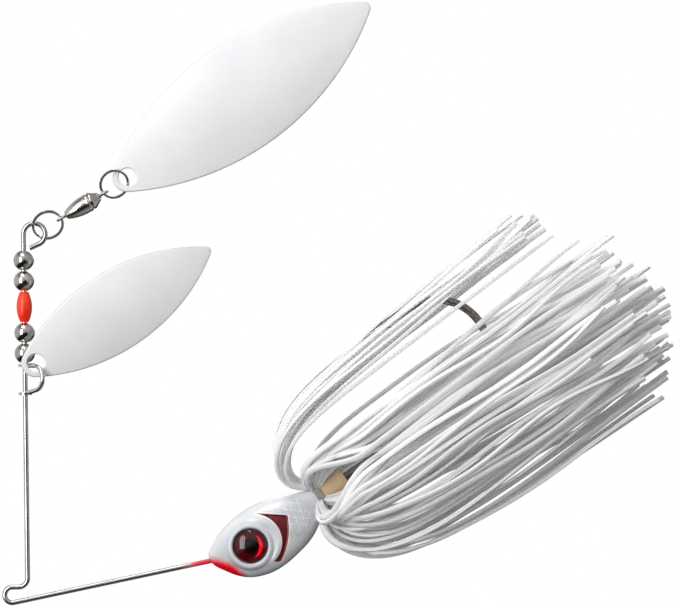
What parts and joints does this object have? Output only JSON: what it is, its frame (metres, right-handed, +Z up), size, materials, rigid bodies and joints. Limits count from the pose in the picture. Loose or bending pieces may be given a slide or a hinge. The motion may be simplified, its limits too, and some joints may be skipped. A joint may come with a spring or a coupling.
{
  "type": "spinnerbait",
  "caption": "Fishing lure on a bent V-shaped wire: head, hook and strand skirt on one arm, beads, clevis, swivel and willow-leaf blades on the other.",
  "frame": {"origin": "centre of the line tie's U-bend, the point the lure hangs from", "axes": "+Z up with the lure hanging from its line tie, hook shank straight down; +X from the hook arm towards the blade arm's side of the wire plane; +Y away from the near (left) side, square to the wire plane"},
  "size_m": [0.0982, 0.042, 0.1275],
  "materials": {
    "spring_wire": "bright drawn stainless",
    "painted_lead": "pearl white gloss paint over cast lead",
    "hook_steel": "dark bronze-nickel plating",
    "band": "dull",
    "tube_rubber": "satin tan rubber",
    "skirt_silicone": "satin white silicone",
    "orange_bead": "fluorescent gloss",
    "nickel": "bright nickel",
    "swivel_nickel": "black-nickel polish",
    "black_nickel": "black nickel",
    "bead_nickel": "polished nickel",
    "blade_paint": "semi-gloss white paint",
    "eye_foil": "printed metallic foil",
    "eye_dome": "clear gloss"
  },
  "bodies": {
    "wire_and_head": {"wire_form": "spring_wire", "head_casting": "painted_lead", "hook": "hook_steel", "eye_foil_left": "eye_foil", "eye_foil_right": "eye_foil", "eye_dome_left": "eye_dome", "eye_dome_right": "eye_dome", "skirt_band": "band", "skirt_tube": "tube_rubber", "skirt_outer_strands": "skirt_silicone", "skirt_inner_strands": "skirt_silicone"},
    "bead_1": {"bead_1": "bead_nickel"},
    "bead_2": {"bead_2": "bead_nickel"},
    "bead_orange": {"bead_orange": "orange_bead"},
    "bead_3": {"bead_3": "bead_nickel"},
    "bead_4": {"bead_4": "bead_nickel"},
    "clevis": {"clevis": "nickel"},
    "small_blade": {"small_blade": "blade_paint"},
    "ring_a": {"ring_a": "nickel"},
    "swivel": {"swivel_barrel": "swivel_nickel", "swivel_lower_eye": "swivel_nickel", "swivel_cap": "black_nickel", "bearing_balls": "nickel"},
    "swivel_rotor": {"swivel_rotor": "swivel_nickel"},
    "ring_b": {"ring_b": "nickel"},
    "big_blade": {"big_blade": "blade_paint"}
  },
  "joints": [
    {"name": "bead_1_spin", "type": "hinge", "parent": "wire_and_head", "child": "bead_1", "pos_m": [0.00101, 0, -0.00397], "axis": [0.8358, 0, -0.549], "continuous": true},
    {"name": "bead_2_spin", "type": "hinge", "parent": "wire_and_head", "child": "bead_2", "pos_m": [0.00101, 0, -0.00397], "axis": [0.8358, 0, -0.549], "continuous": true},
    {"name": "bead_orange_spin", "type": "hinge", "parent": "wire_and_head", "child": "bead_orange", "pos_m": [0.00101, 0, -0.00397], "axis": [0.8358, 0, -0.549], "continuous": true},
    {"name": "bead_3_spin", "type": "hinge", "parent": "wire_and_head", "child": "bead_3", "pos_m": [0.00101, 0, -0.00397], "axis": [0.8358, 0, -0.549], "continuous": true},
    {"name": "bead_4_slide", "type": "slide", "parent": "wire_and_head", "child": "bead_4", "axis": [-0.8358, 0, 0.549], "range_m": [0, 0.02]},
    {"name": "clevis_spin", "type": "hinge", "parent": "bead_4", "child": "clevis", "pos_m": [0.00101, 0, -0.00397], "axis": [0.8358, 0, -0.549], "continuous": true},
    {"name": "small_blade_swing", "type": "hinge", "parent": "clevis", "child": "small_blade", "pos_m": [0.03234, -0.0025, -0.02724], "axis": [-0.1305, -0.9724, -0.1935], "range_deg": [-25, 15]},
    {"name": "ring_a_swing", "type": "hinge", "parent": "wire_and_head", "child": "ring_a", "pos_m": [0.05191, 0, -0.03978], "axis": [0, -1, 0], "range_deg": [-10, 15]},
    {"name": "swivel_swing", "type": "hinge", "parent": "ring_a", "child": "swivel", "pos_m": [0.05192, 0, -0.04275], "axis": [-0.527, -0.848, 0.0554], "range_deg": [-20, 20]},
    {"name": "swivel_rotor_spin", "type": "hinge", "parent": "swivel", "child": "swivel_rotor", "pos_m": [0.05161, 0, -0.0444], "axis": [-0.0628, 0, -0.998], "continuous": true},
    {"name": "ring_b_swing", "type": "hinge", "parent": "swivel_rotor", "child": "ring_b", "pos_m": [0.05098, 0, -0.05433], "axis": [-0.8818, 0.454, -0.1274], "range_deg": [-20, 20]},
    {"name": "big_blade_swing", "type": "hinge", "parent": "ring_b", "child": "big_blade", "pos_m": [0.05135, 0, -0.05685], "axis": [-0.4496, -0.891, -0.0632], "range_deg": [-15, 15]}
  ]
}
